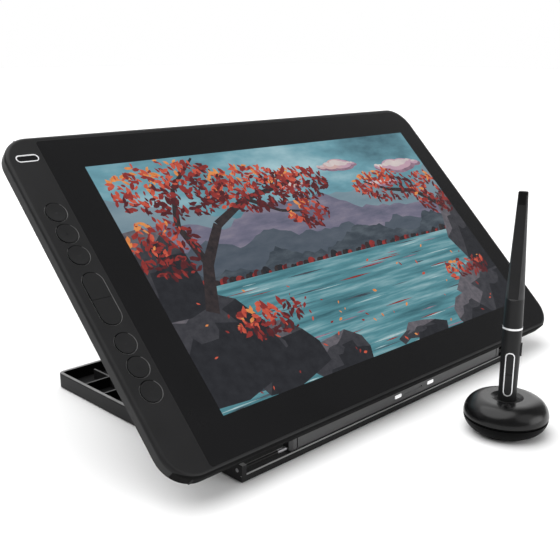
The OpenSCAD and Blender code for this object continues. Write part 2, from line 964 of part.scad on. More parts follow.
// Saw-tooth strip on the tray's floor under each end of the foot rod
module tooth_racks() {
    tooth_h = rack_top - floor_z;
    teeth = [for (i = [0 : rack_count - 1], p = [[0, rack_base], [0.85, tooth_h]])
        [(i + p[0]) * rack_pitch, p[1]]];
    strip_l = rack_count * rack_pitch;
    color(dark_tone)
        for (s = [-1, 1])
            translate([s * rack_x, rack_start, floor_z])
                along_x(rack_w)
                    polygon(concat([[0, 0]], teeth, [[strip_l, rack_base], [strip_l, 0]]));
}

module hinge_rod() {
    color(steel_tone)
        translate([-tray_w / 2, hinge_y, hinge_z])
            rotate([0, 90, 0])
                cylinder(d = rod_d, h = tray_w);
}

// Point given upright from the hinge axis, in the plate's own leaning frame
function leaning(dy, dz) = [cos(tilt) * dy + sin(tilt) * dz, cos(tilt) * dz - sin(tilt) * dy];

module nose_section() {
    polygon([[0, -barrel_r / 2], leaning(-nose_front, nose_low), leaning(-nose_front, nose_high),
        [seat_sum - plate_face, plate_face], [seat_sum, plate_face - plate_t]]);
}

module insert_outline(grow) {
    for (s = [-1, 1])
        translate([insert_offset + s * insert_pitch / 2, insert_z])
            round_rect(insert_w + 2 * grow, insert_h + 2 * grow, insert_r);
}

// Draws on the nose's upright front face, cutting or standing out along -Y
module on_nose(depth, out) {
    translate([0, hinge_y - nose_front + depth, hinge_z])
        rotate([90, 0, 0])
            linear_extrude(depth + out)
                children();
}

// What grooves and bevels the nose near its end at the given distance to the right
module nose_end_cut(half_w) {
    front_y = hinge_y - nose_front;
    on_nose(groove_w, overcut)
        translate([half_w - groove_at, insert_z])
            square([groove_w, 2 * nose_high], center = true);
    translate([0, 0, hinge_z + 2 * nose_low])
        linear_extrude(2 * nose_high)
            polygon([[half_w - nose_bevel - overcut, front_y - overcut],
                [half_w + overcut, front_y - overcut],
                [half_w + overcut, front_y + nose_bevel + overcut]]);
}

module support_plate() {
    rib_l = plate_l - 20;
    hole_l = plate_w + 2 * ledge_extra + 2 * overcut;
    color(shell_tone)
        difference() {
            on_hinge()
                difference() {
                    union() {
                        translate([ledge_extra / 2, 0, 0]) {
                            along_x(plate_w + ledge_extra)
                                nose_section();
                            rotate([0, 90, 0])
                                cylinder(r = barrel_r, h = plate_w + ledge_extra, center = true);
                        }
                        translate([-plate_w / 2, 0, plate_face - plate_t])
                            cube([plate_w, plate_l - plate_corner_r, plate_t]);
                        translate([-plate_w / 2 + plate_corner_r, 0, plate_face - plate_t])
                            cube([plate_w - 2 * plate_corner_r, plate_l, plate_t]);
                        for (s = [-1, 1]) {
                            translate([s * (plate_w / 2 - plate_corner_r), plate_l - plate_corner_r,
                                plate_face - plate_t])
                                cylinder(r = plate_corner_r, h = plate_t);
                            translate([s * plate_rib_x - rib_t, 8, plate_face - plate_t - plate_rib_h])
                                cube([2 * rib_t, rib_l, plate_rib_h + plate_t / 2]);
                        }
                        translate([0, leg_l, 0])
                            rotate([0, 90, 0])
                                cylinder(r = barrel_r, h = plate_w, center = true);
                    }
                    rotate([0, 90, 0])
                        cylinder(r = rod_d / 2 + run_fit, h = hole_l, center = true);
                    translate([0, leg_l, 0])
                        rotate([0, 90, 0])
                            cylinder(d = rod_d, h = plate_w + 2 * overcut, center = true);
                }
            on_nose(insert_t, overcut)
                insert_outline(insert_fit);
            on_nose(recess_t, overcut)
                translate([insert_offset + recess_shift, insert_z])
                    square([recess_l, recess_h], center = true);
            on_nose(pin_hole_l, overcut)
                translate([insert_offset + pin_hole_shift, insert_z])
                    circle(d = pin_hole_d);
            nose_end_cut(plate_w / 2 + ledge_extra);
            mirror([1, 0, 0])
                nose_end_cut(plate_w / 2);
        }
}

module plate_pads() {
    color(rubber_tone)
        on_hinge()
            for (y = pad_ys)
                translate([0, y, plate_face])
                    linear_extrude(plate_pad_t)
                        obround(pad_w, pad_l);
}

module ledge_inserts() {
    color("white")
        on_nose(insert_t, insert_out)
            insert_outline(0);
}

module leg_pivot_rod() {
    color(steel_tone)
        translate([-leg_span / 2, pivot_y, pivot_z])
            rotate([0, 90, 0])
                cylinder(d = rod_d, h = leg_span);
}

module prop_leg() {
    color(shell_tone)
        translate([0, pivot_y, pivot_z])
            rotate([-tilt, 0, 0])
                difference() {
                    union() {
                        for (s = [-1, 1])
                            translate([s * (arm_x + leg_t / 2), 0, 0]) {
                                along_x(leg_t)
                                    translate([leg_l / 2, 0])
                                        square([leg_l, leg_w], center = true);
                                rotate([0, 90, 0])
                                    cylinder(d = leg_eye_d, h = leg_t, center = true);
                                translate([0, leg_l, 0])
                                    rotate([0, 90, 0])
                                        cylinder(d = leg_w, h = leg_t, center = true);
                            }
                        translate([-arm_x - leg_t / 2, bar_at * leg_l, -bar_t / 2])
                            cube([2 * arm_x + leg_t, leg_w, bar_t]);
                    }
                    rotate([0, 90, 0])
                        cylinder(r = rod_d / 2 + run_fit, h = leg_span + 2 * overcut, center = true);
                    translate([0, leg_l, 0])
                        rotate([0, 90, 0])
                            cylinder(d = foot_rod_d, h = leg_span + 2 * overcut, center = true);
                }
}

module leg_foot_rod() {
    color(steel_tone)
        translate([-leg_span / 2, foot_y, hinge_z])
            rotate([0, 90, 0])
                cylinder(d = foot_rod_d, h = leg_span);
}

module foot_sleeves() {
    color(rubber_tone)
        for (s = [-1, 1])
            translate([s * rack_x, foot_y, hinge_z])
                rotate([0, 90, 0])
                    difference() {
                        cylinder(r = sleeve_r, h = sleeve_l, center = true);
                        cylinder(d = foot_rod_d, h = sleeve_l + 2 * overcut, center = true);
                    }
}

// Pen

module button_pocket(grow) {
    rotate([90, 0, 0])
        translate([0, buttons_at, button_floor])
            linear_extrude(pen_r)
                rotate(90)
                    obround(buttons_l + 2 * grow, buttons_w + 2 * grow);
}

// Raised pad on the barrel's right side
module side_nub() {
    crowned(pen_r + nub_out)
        translate([0, 0, nub_at])
            rotate([90, 0, 90])
                linear_extrude(pen_d)
                    rotate(90)
                        obround(nub_l, nub_w);
}

module pen_front_barrel() {
    barrel_l = ring_at - cone_l - nib_out;
    color(dark_tone)
        in_pen()
            difference() {
                union() {
                    translate([0, 0, nib_out + cone_l])
                        cylinder(r1 = grip_r, r2 = pen_r, h = barrel_l);
                    side_nub();
                }
                translate([0, 0, nib_out + cone_l - overcut])
                    cylinder(r = pen_bore_r, h = pen_bore_l + overcut);
                button_pocket(0);
            }
}

module pen_tip_cone() {
    color(dark_tone)
        in_pen()
            translate([0, 0, nib_out])
                difference() {
                    cylinder(r1 = cone_tip_r, r2 = grip_r, h = cone_l);
                    translate([0, 0, -overcut])
                        cylinder(r = nib_r + run_fit, h = cone_l + 2 * overcut);
                }
}

module pen_nib() {
    color([0.2, 0.2, 0.2])
        in_pen() {
            translate([0, 0, nib_r])
                sphere(nib_r);
            translate([0, 0, nib_r])
                cylinder(r = nib_r, h = nib_l - nib_r);
        }
}

module pen_ring() {
    color(chrome_tone)
        in_pen()
            translate([0, 0, ring_at])
                cylinder(r = pen_r + 0.1, h = ring_w);
}

// Places a shape on the slanted flat that runs from the tail down the rear barrel
module on_facet() {
    lean = atan((facet_r - facet_tail) / (pen_l - facet_at));
    rotate([0, 0, facet_turn])
        translate([0, -facet_tail, pen_l])
            rotate([-lean, 0, 0])
                children();
}

module rear_barrel_body() {
    lower = ring_at + ring_w;
    flat_l = pen_l - facet_at;
    difference() {
        union() {
            translate([0, 0, lower])
                cylinder(r1 = pen_r, r2 = waist_r, h = facet_at - lower);
            translate([0, 0, facet_at])
                cylinder(r1 = waist_r, r2 = tail_r, h = pen_l - tail_bevel - facet_at);
            translate([0, 0, pen_l - tail_bevel])
                cylinder(r1 = tail_r, r2 = tail_r - tail_bevel, h = tail_bevel);
        }
        on_facet()
            along_x(2 * pen_d)
                polygon([[0, pen_d], [0, -flat_l], [-pen_d, -flat_l - pen_d], [-pen_d, pen_d]]);
    }
}

// Slab let into the flat below the tail cap
module end_insert_slab(out) {
    on_facet()
        translate([-end_insert_w / 2, -out, -tail_cap_l - end_insert_l])
            cube([end_insert_w, end_insert_t + out, end_insert_l + tail_cap_l / 2]);
}

module pen_rear_barrel() {
    color(dark_tone)
        in_pen()
            difference() {
                rear_barrel_body();
                translate([0, 0, pen_l - tail_cap_l])
                    cylinder(r = pen_d, h = pen_d);
                end_insert_slab(overcut);
            }
}

module pen_end_insert() {
    color([0.02, 0.02, 0.02])
        in_pen() {
            intersection() {
                rear_barrel_body();
                translate([0, 0, pen_l - tail_cap_l])
                    cylinder(r = pen_d, h = pen_d);
            }
            end_insert_slab(0);
        }
}

// Shape standing out of the barrel's front, cut to a round crown
module crowned(r) {
    intersection() {
        children();
        cylinder(r = r, h = ring_at);
    }
}

module pen_button_frame() {
    color(chrome_tone)
        in_pen()
            crowned(pen_r + 0.05)
                difference() {
                    button_pocket(0);
                    button_pocket(-bezel_w);
                }
}

module pen_button(upper) {
    side = upper ? 1 : -1;
    shift = side * buttons_l / 2;
    in_pen()
        crowned(pen_r + 0.25)
            intersection() {
                translate([0, -button_travel - 0.1, 0])
                    button_pocket(-bezel_w - button_gap);
                translate([-pen_r, -2 * pen_r, buttons_at + shift - buttons_l / 2 + side * button_gap])
                    cube([pen_d, 2 * pen_r, buttons_l]);
            }
}

module pen_button_lower() {
    color(shell_tone)
        pen_button(false);
}

module pen_button_upper() {
    color(shell_tone)
        pen_button(true);
}

module pen_coil() {
    color([0.6, 0.35, 0.15])
        in_pen()
            translate([0, 0, nib_out + cone_l + coil_at])
                difference() {
                    cylinder(r = pen_bore_r, h = coil_l);
                    translate([0, 0, -overcut])
                        cylinder(r = nib_r + 0.3, h = coil_l + 2 * overcut);
                }
}

module pen_board() {
    color(board_tone)
        in_pen()
            translate([-pen_board_w / 2, -pen_board_t / 2, nib_out + cone_l + coil_at + coil_l])
                cube([pen_board_w, pen_board_t, pen_board_l]);
}

// Pen holder

module ring_section() {
    translate([core_r, round_z])
        circle(round_r);
    translate([0, holder_foot_t])
        square([core_r, 2 * round_r]);
}

module holder_part(z0, z1) {
    rotate_extrude()
        intersection() {
            ring_section();
            translate([0, z0])
                square([holder_d, z1 - z0]);
        }
}

module holder_cover() {
    roof = holder_h - holder_wall - 2;
    color(dark_tone)
        in_holder()
            difference() {
                holder_part(holder_seam + holder_band_h, holder_h);
                translate([0, 0, liner_z])
                    cylinder(r = liner_r, h = holder_h);
                translate([0, 0, holder_h - funnel_t])
                    cylinder(r1 = liner_r, r2 = funnel_r, h = funnel_t + 0.01);
                difference() {
                    translate([0, 0, holder_seam])
                        cylinder(r = core_r + 2, h = roof - holder_seam);
                    translate([0, 0, holder_seam - overcut])
                        cylinder(r = liner_r + holder_wall, h = roof + overcut);
                }
            }
}

module holder_band() {
    color(shell_tone)
        in_holder()
            translate([0, 0, holder_seam + seam_gap])
                difference() {
                    cylinder(r = holder_r - 0.7, h = holder_band_h - seam_gap);
                    translate([0, 0, -overcut])
                        cylinder(r = core_r + 2, h = holder_band_h + 2 * overcut);
                }
}

module holder_bowl() {
    color(dark_tone)
        in_holder()
            difference() {
                holder_part(holder_foot_t, holder_seam);
                translate([0, 0, weight_z])
                    cylinder(r = weight_r, h = holder_h);
            }
}

module holder_foot() {
    color(rubber_tone)
        in_holder()
            cylinder(r = core_r + 1.5, h = holder_foot_t);
}

// Rubber socket: a tube with a floor, bored along the pen's grip and tip
module holder_liner() {
    grip_z = pen_rest + nib_out + cone_l;
    slope = (pen_r - grip_r) / (ring_at - cone_l - nib_out);
    top_z = holder_h - funnel_t;
    top_r = grip_r + slope * (top_z - grip_z) + liner_gap;
    color(rubber_tone)
        in_holder()
            difference() {
                translate([0, 0, liner_z])
                    cylinder(r = liner_r, h = top_z - liner_z);
                translate([0, 0, grip_z])
                    cylinder(r1 = grip_r + liner_gap, r2 = top_r, h = top_z - grip_z + 0.01);
                translate([0, 0, pen_rest + nib_out])
                    cylinder(r1 = cone_tip_r + liner_gap, r2 = grip_r + liner_gap, h = cone_l + 0.01);
                translate([0, 0, pen_rest - 0.3])
                    cylinder(r = cone_tip_r + liner_gap, h = nib_out + 0.31);
            }
}

module holder_weight() {
    color(steel_tone)
        in_holder()
            translate([0, 0, weight_z])
                difference() {
                    cylinder(r = weight_r, h = weight_t);
                    translate([0, 0, -overcut])
                        cylinder(r = inner_r, h = weight_t + 2 * overcut);
                }
}

module nib_places() {
    for (i = [0 : spare_count - 1])
        rotate([0, 0, i * 360 / spare_count])
            translate([nib_ring_r, 0, nib_tray_z + 0.6])
                children();
}

module nib_tray() {
    color([0.3, 0.3, 0.32])
        in_holder()
            difference() {
                translate([0, 0, nib_tray_z])
                    cylinder(r = weight_r, h = nib_tray_t);
                translate([0, 0, nib_tray_z - overcut])
                    cylinder(r = inner_r, h = nib_tray_t + 2 * overcut);
                nib_places()
                    cylinder(r = spare_nib_r + run_fit, h = nib_tray_t);
            }
}

module spare_nibs() {
    color([0.2, 0.2, 0.2])
        in_holder()
            nib_places()
                cylinder(r = spare_nib_r, h = spare_nib_l);
}

front_frame();
rear_shell();
screen_glass();
display_panel();
backlight_unit();
sensor_board();
shield_plate();
main_board();
key_board();
status_ring();
status_lens();
usb_c_ports();
tablet_feet();
shell_screws();
power_key();
tablet_key(1);  // key_1
tablet_key(2);  // key_2
tablet_key(3);  // key_3
tablet_key(4);  // key_4
tablet_key(5);  // key_5
tablet_key(6);  // key_6
tablet_key(7);  // key_7
tablet_key(8);  // key_8
base_tray();
tray_feet();
tooth_racks();
hinge_rod();
support_plate();
plate_pads();
ledge_inserts();
leg_pivot_rod();
prop_leg();
leg_foot_rod();
foot_sleeves();
pen_front_barrel();
pen_tip_cone();
pen_nib();
pen_ring();
pen_rear_barrel();
pen_end_insert();
pen_button_frame();
pen_button_lower();
pen_button_upper();
pen_coil();
pen_board();
holder_cover();
holder_band();
holder_bowl();
holder_foot();
holder_liner();
holder_weight();
nib_tray();
spare_nibs();
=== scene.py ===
import json
import math
import random

import bpy
from mathutils import Matrix, Vector
from mathutils.bvhtree import BVHTree
from mathutils.geometry import delaunay_2d_cdt


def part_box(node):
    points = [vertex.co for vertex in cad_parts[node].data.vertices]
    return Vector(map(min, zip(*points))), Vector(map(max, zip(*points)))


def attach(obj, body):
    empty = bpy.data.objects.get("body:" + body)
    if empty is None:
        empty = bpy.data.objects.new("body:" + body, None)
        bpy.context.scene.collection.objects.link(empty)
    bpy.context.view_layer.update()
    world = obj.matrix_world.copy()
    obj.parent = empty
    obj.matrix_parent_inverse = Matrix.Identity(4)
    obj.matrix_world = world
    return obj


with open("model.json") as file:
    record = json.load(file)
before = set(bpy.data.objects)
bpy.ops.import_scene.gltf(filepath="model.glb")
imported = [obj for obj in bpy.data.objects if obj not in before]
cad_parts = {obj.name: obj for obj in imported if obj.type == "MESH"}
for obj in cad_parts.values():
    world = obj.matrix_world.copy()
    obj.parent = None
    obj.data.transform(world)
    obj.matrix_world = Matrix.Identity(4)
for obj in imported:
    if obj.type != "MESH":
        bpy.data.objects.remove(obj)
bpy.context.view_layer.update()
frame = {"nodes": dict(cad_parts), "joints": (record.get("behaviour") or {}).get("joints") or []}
nodes = frame["nodes"]
joints = {j["name"]: j for j in frame["joints"]}

MM = 0.001
ACROSS, DEEP, UP = Vector((1, 0, 0)), Vector((0, 1, 0)), Vector((0, 0, 1))


# Shader helpers

EVEN = (1, 1, 1)  # a texture that isn't stretched
TONE_FROM, TONE_TO = 0.3, 0.7  # where most of a noise texture's values lie
FINER_GLOSS = 6  # how much finer the uneven gloss is than the uneven tone
BUMP_STRENGTH = 0.35
RUB_SCALE, RUB_STRETCH = 120, (0.2, 1, 1)  # streaks in a second finish
RUB_FROM, RUB_TO = 0.35, 0.65


def new_material(name):
    """A material with an empty node tree but for its output and one Principled shader."""
    mat = bpy.data.materials.new(name)
    mat.use_nodes = True
    tree = mat.node_tree
    tree.nodes.clear()
    out = tree.nodes.new("ShaderNodeOutputMaterial")
    shader = tree.nodes.new("ShaderNodeBsdfPrincipled")
    tree.links.new(shader.outputs["BSDF"], out.inputs["Surface"])
    return mat, tree, shader


def coordinates(tree, kind):
    return tree.nodes.new("ShaderNodeTexCoord").outputs[kind]


def noise(tree, coords, scale, detail=3.0, rough=0.55, stretch=EVEN):
    """Noise texture on the given coordinates, stretched along each axis."""
    place = tree.nodes.new("ShaderNodeMapping")
    place.inputs["Scale"].default_value = stretch
    tree.links.new(coords, place.inputs["Vector"])
    tex = tree.nodes.new("ShaderNodeTexNoise")
    tex.inputs["Scale"].default_value = scale
    tex.inputs["Detail"].default_value = detail
    tex.inputs["Roughness"].default_value = rough
    tree.links.new(place.outputs["Vector"], tex.inputs["Vector"])
    return tex.outputs["Fac"]


def ramp(tree, fac, stops):
    """Colour ramp with (position, colour) stops."""
    node = tree.nodes.new("ShaderNodeValToRGB")
    band = node.color_ramp
    while len(band.elements) < len(stops):
        band.elements.new(0.5)
    for element, (pos, colour) in zip(band.elements, stops):
        element.position = pos
        element.color = (*colour, 1.0)
    tree.links.new(fac, node.inputs["Fac"])
    return node.outputs["Color"]


def span(tree, fac, low, high):
    """Maps 0..1 to low..high."""
    node = tree.nodes.new("ShaderNodeMapRange")
    node.inputs["To Min"].default_value = low
    node.inputs["To Max"].default_value = high
    tree.links.new(fac, node.inputs["Value"])
    return node.outputs["Result"]


def tint(colour, k):
    return tuple(min(1.0, c * k) for c in colour)


def grey(level):
    return (level, level, level)


def surface(name, colour, rough, spec=0.3, vary=0.12, vary_scale=45.0, rough_vary=0.05,
            grain=1400.0, grain_depth=0.02, stretch=EVEN, metallic=0.0, glow=0.0):
    """Moulded or worked surface: uneven tone, uneven gloss and a fine grain, its depth in millimetres."""
    mat, tree, shader = new_material(name)
    coords = coordinates(tree, "Object")
    blotch = noise(tree, coords, vary_scale, detail=4.0)
    tone = ramp(tree, blotch, [(TONE_FROM, tint(colour, 1 - vary)), (TONE_TO, tint(colour, 1 + vary))])
    tree.links.new(tone, shader.inputs["Base Color"])
    gloss = noise(tree, coords, vary_scale * FINER_GLOSS, stretch=stretch)
    tree.links.new(span(tree, gloss, rough - rough_vary, rough + rough_vary), shader.inputs["Roughness"])
    fine = noise(tree, coords, grain, detail=2.0, stretch=stretch)
    bump = tree.nodes.new("ShaderNodeBump")
    bump.inputs["Strength"].default_value = BUMP_STRENGTH
    bump.inputs["Distance"].default_value = grain_depth * MM
    tree.links.new(fine, bump.inputs["Height"])
    tree.links.new(bump.outputs["Normal"], shader.inputs["Normal"])
    shader.inputs["Metallic"].default_value = metallic
    shader.inputs["Specular IOR Level"].default_value = spec
    if glow:
        tree.links.new(tone, shader.inputs["Emission Color"])
        shader.inputs["Emission Strength"].default_value = glow
    return mat


def measure(tree, vector, way):
    """Length of a vector output along a direction."""
    node = tree.nodes.new("ShaderNodeVectorMath")
    node.operation = "DOT_PRODUCT"
    node.inputs[1].default_value = way
    tree.links.new(vector, node.inputs[0])
    return node.outputs["Value"]


def place_along(tree, way):
    """How far a point lies along a direction, in the part's own coordinates."""
    return measure(tree, coordinates(tree, "Object"), way)


def facing(tree, way):
    """How much the surface faces a direction, in the part's own coordinates."""
    return measure(tree, coordinates(tree, "Normal"), way)


def within(tree, value, low, high):
    """1 where the value lies between low and high, otherwise 0."""
    node = tree.nodes.new("ShaderNodeMath")
    node.operation = "COMPARE"
    tree.links.new(value, node.inputs[0])
    node.inputs[1].default_value = (low + high) / 2
    node.inputs[2].default_value = (high - low) / 2
    return node.outputs["Value"]


def join(tree, operation, a, b):
    """Sum, product or larger one of two values, by the name of the operation."""
    node = tree.nodes.new("ShaderNodeMath")
    node.operation = operation
    tree.links.new(a, node.inputs[0])
    tree.links.new(b, node.inputs[1])
    return node.outputs["Value"]


def overlay(mat, mask, tones, rough=None, metallic=0.0):
    """Lays a second finish over part of a surface: painted highlights on edges, bare metal, a rougher inside
    with painted shade.
    """
    tree = mat.node_tree
    shader = next(n for n in tree.nodes if n.type == "BSDF_PRINCIPLED")
    rub = noise(tree, coordinates(tree, "Object"), RUB_SCALE, detail=4.0, stretch=RUB_STRETCH)
    mixed = tree.nodes.new("ShaderNodeMix")
    mixed.data_type = "RGBA"
    tree.links.new(mask, mixed.inputs["Factor"])
    tree.links.new(shader.inputs["Base Color"].links[0].from_socket, mixed.inputs["A"])
    tree.links.new(ramp(tree, rub, [(RUB_FROM, tones[0]), (RUB_TO, tones[1])]), mixed.inputs["B"])
    tree.links.new(mixed.outputs["Result"], shader.inputs["Base Color"])
    if rough is not None:
        blend = tree.nodes.new("ShaderNodeMapRange")
        tree.links.new(mask, blend.inputs["Value"])
        tree.links.new(shader.inputs["Roughness"].links[0].from_socket, blend.inputs["To Min"])
        blend.inputs["To Max"].default_value = rough
        tree.links.new(blend.outputs["Result"], shader.inputs["Roughness"])
    if metallic:
        tree.links.new(span(tree, mask, 0.0, metallic), shader.inputs["Metallic"])


# Materials of the object

GREY = (0.0122, 0.0122, 0.0127)
PEN_GREY = (0.012, 0.012, 0.0125)

shell_plastic = surface("shell_plastic", GREY, rough=0.42, spec=0.16, grain=2600, grain_depth=0.012)
back_plastic = surface("back_plastic", tint(GREY, 0.6), rough=0.45, spec=0.12, grain=2600, grain_depth=0.012)
key_plastic = surface("key_plastic", tint(GREY, 0.92), rough=0.42, spec=0.16, grain=2600, grain_depth=0.01)
stand_plastic = surface("stand_plastic", tint(GREY, 0.8), rough=0.34, grain=1800, grain_depth=0.015)
ledge_plastic = surface("ledge_plastic", tint(GREY, 2.2), rough=0.3, spec=0.6, grain=1800, grain_depth=0.015)
cover_glass = surface("cover_glass", (0.0065, 0.0065, 0.007), rough=0.2, spec=0.22, vary=0.06,
                      rough_vary=0.02, grain=5200, grain_depth=0.002)
panel_black = surface("panel_black", (0.02, 0.022, 0.028), rough=0.3, spec=0.4)
white_plastic = surface("white_plastic", (0.72, 0.72, 0.71), rough=0.45, spec=0.4, vary=0.04, grain=1800)
# White ledge inserts with a painted glow: a weak emission lifts them toward white, though they are no lamp
insert_white_painted_glow = surface("insert_white_painted_glow", grey(0.9), rough=0.4, spec=0.4, vary=0.03, grain=1800, glow=0.35)
ring_silver = surface("ring_silver", (0.72, 0.72, 0.73), rough=0.35, spec=0.5, vary=0.05,
                      grain=2400, grain_depth=0.004)
board_green = surface("board_green", (0.02, 0.12, 0.07), rough=0.4, spec=0.4, vary=0.25, vary_scale=220)
steel = surface("steel", (0.56, 0.57, 0.59), rough=0.3, spec=0.5, vary=0.06, stretch=(0.08, 1, 1),
                metallic=1.0)
bright_trim = surface("bright_trim", (0.86, 0.86, 0.87), rough=0.24, spec=0.5, vary=0.03,
                      rough_vary=0.03, grain_depth=0.002, metallic=0.35)
rubber = surface("rubber", grey(0.014), rough=0.75, spec=0.2, grain=900, grain_depth=0.05)
pen_plastic = surface("pen_plastic", PEN_GREY, rough=0.4, spec=0.2, grain=2600, grain_depth=0.01)
gloss_black = surface("gloss_black", (0.003, 0.003, 0.0033), rough=0.3, spec=0.1, vary=0.08,
                      grain=3000, grain_depth=0.004)
tail_plastic = surface("tail_plastic", PEN_GREY, rough=0.4, spec=0.2, grain=2600, grain_depth=0.01)
satin_black = surface("satin_black", (0.0025, 0.0025, 0.0027), rough=0.24, spec=0.3, vary=0.08,
                      grain=2600, grain_depth=0.008)
bowl_black = surface("bowl_black", (0.0012, 0.0012, 0.0013), rough=0.5, spec=0.05, vary=0.08,
                     grain=2200, grain_depth=0.01)
copper = surface("copper", (0.55, 0.26, 0.1), rough=0.3, spec=0.5, stretch=(1, 1, 20), metallic=1.0)
rod_black = surface("rod_black", grey(0.006), rough=0.45, spec=0.15, stretch=(0.1, 1, 1))
tray_plastic = surface("tray_plastic", tint(GREY, 1.1), rough=0.34, spec=0.1, grain=1800, grain_depth=0.015)
iron = surface("iron", grey(0.2), rough=0.55, spec=0.5, vary=0.2, metallic=1.0)

looks = {
    shell_plastic: ["front_frame"],
    back_plastic: ["rear_shell"],
    key_plastic: ["power_key"] + [f"key_{i}" for i in range(1, 9)],
    stand_plastic: ["tooth_racks", "prop_leg", "nib_tray"],
    tray_plastic: ["base_tray"],
    ledge_plastic: ["support_plate"],
    cover_glass: ["screen_glass", "status_lens"],
    panel_black: ["display_panel"],
    white_plastic: ["backlight_unit"],
    insert_white_painted_glow: ["ledge_inserts"],
    board_green: ["sensor_board", "main_board", "key_board", "pen_board"],
    steel: ["shield_plate", "usb_c_ports", "shell_screws", "leg_pivot_rod", "leg_foot_rod"],
    rod_black: ["hinge_rod"],
    ring_silver: ["status_ring"],
    bright_trim: ["pen_ring", "pen_button_frame"],
    rubber: ["tablet_feet", "tray_feet", "plate_pads", "foot_sleeves", "holder_foot", "holder_liner"],
    pen_plastic: ["pen_front_barrel", "pen_tip_cone", "pen_nib", "pen_button_lower", "pen_button_upper",
                  "spare_nibs"],
    tail_plastic: ["pen_rear_barrel"],
    gloss_black: ["pen_end_insert"],
    satin_black: ["holder_cover"],
    bowl_black: ["holder_bowl", "holder_band"],
    copper: ["pen_coil"],
    iron: ["holder_weight"],
}
for mat, names in looks.items():
    for name in names:
        nodes[name].data.materials.clear()
        nodes[name].data.materials.append(mat)


# The tablet's own directions, from the way its keys are pressed

out_of_face = -Vector(joints["key_1_press"]["axis"]).normalized()
up_face = out_of_face.cross(ACROSS).normalized()


def box_middle(name):
    return sum((Vector(c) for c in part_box(name)), Vector()) / 2


# Second finishes on the tray: a rough inside with a darker tone of painted shade, a painted highlight along
# the lip in front and a painted highlight along the rim

TRAY_WALL, TRAY_LIP = 1.5 * MM, 2.0 * MM  # thickness that keeps the outside's finish
RIM_DROP = 1.6 * MM  # how far below the rim the rough inside starts
LIP_TOP = 4.3 * MM
# Where the painted highlight along the lip lies
LIP_HIGHLIGHT_FROM, LIP_HIGHLIGHT_TO = 0.3 * MM, 1.15 * MM  # behind the tray's front
LIP_HIGHLIGHT_BELOW, LIP_HIGHLIGHT_ABOVE = 0.45 * MM, 0.05 * MM
# Half height of the painted highlight band along the walls' top
RIM_HIGHLIGHT = 0.1 * MM

tray_low, tray_high = (Vector(c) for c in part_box("base_tray"))
tree = tray_plastic.node_tree
side, depth, height = (place_along(tree, way) for way in (ACROSS, DEEP, UP))
shaded_well = join(tree, "MULTIPLY", within(tree, depth, tray_low.y + TRAY_LIP, tray_high.y - TRAY_WALL),
            within(tree, height, 0.0, tray_high.z - RIM_DROP))
shaded_well = join(tree, "MULTIPLY", shaded_well, within(tree, side, tray_low.x + TRAY_WALL, tray_high.x - TRAY_WALL))
# Painted shade: the inside gets a darker tone, along with its rougher finish
overlay(tray_plastic, shaded_well, [tint(GREY, 0.6), tint(GREY, 0.9)], rough=0.75)
# Painted highlight: a light grey line along the lip's bevel in front, where light catches the edge
lip_highlight = join(tree, "MULTIPLY", within(tree, depth, tray_low.y + LIP_HIGHLIGHT_FROM, tray_low.y + LIP_HIGHLIGHT_TO),
           within(tree, height, LIP_TOP - LIP_HIGHLIGHT_BELOW, LIP_TOP + LIP_HIGHLIGHT_ABOVE))
# Painted highlight: a light grey band along the top of the tray's walls
rim_highlight = within(tree, height, tray_high.z - RIM_HIGHLIGHT, tray_high.z + RIM_HIGHLIGHT)
overlay(tray_plastic, lip_highlight, [grey(0.34), grey(0.46)])
overlay(tray_plastic, rim_highlight, [grey(0.13), grey(0.2)])


# The hinge rod's bare ends, and a short bare length beside the plate's left end

ROD_TIP = 0.2 * MM
ROD_BARE_FROM, ROD_BARE_TO = -110 * MM, -103.4 * MM

tree = rod_black.node_tree
side = place_along(tree, ACROSS)
tips = join(tree, "MAXIMUM", within(tree, side, tray_low.x - ROD_TIP, tray_low.x + ROD_TIP),
            within(tree, side, tray_high.x - ROD_TIP, tray_high.x + ROD_TIP))
bare = join(tree, "MAXIMUM", tips, within(tree, side, ROD_BARE_FROM, ROD_BARE_TO))
overlay(rod_black, bare, [(0.2, 0.2, 0.21), (0.3, 0.3, 0.31)], metallic=0.8)


# The frame's key openings with a painted highlight on their slanted edges, and its underside darkened by
# painted shade, with a rougher finish

KEY_REACH, KEY_MARGIN = 12 * MM, 1 * MM
SLANTED = 0.5, 0.9  # how much an opening's edge faces the front
FACING_DOWN = 0.55, 1.1

key_low, key_high = (Vector(c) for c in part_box("key_1"))
keys_top, keys_foot = (box_middle(name).dot(up_face) for name in ("key_1", "key_8"))
tree = shell_plastic.node_tree
strip = join(tree, "MULTIPLY",
             within(tree, place_along(tree, ACROSS), key_low.x - KEY_MARGIN, key_high.x + KEY_MARGIN),
             within(tree, place_along(tree, up_face), keys_foot - KEY_REACH, keys_top + KEY_REACH))
# Painted highlight: the slanted edges of the key openings are made lighter grey
opening_highlight = join(tree, "MULTIPLY", strip, within(tree, facing(tree, out_of_face), *SLANTED))
overlay(shell_plastic, opening_highlight, [grey(0.15), grey(0.22)])
# Painted shade: the frame's downward-facing edge is darkened, with a rougher finish
shaded_under_edge = within(tree, facing(tree, -up_face), *FACING_DOWN)
overlay(shell_plastic, shaded_under_edge, [tint(GREY, 0.1), tint(GREY, 0.2)], rough=0.9)


# The pen's round sides get a painted highlight, a tone lighter than the long flat, whose direction the end
# insert's front gives

FLAT_ABOVE_TIP, TAIL_REACH = 81 * MM, 100 * MM
BESIDE_FLAT = -1.1, 0.985  # how much the round sides face the flat's direction

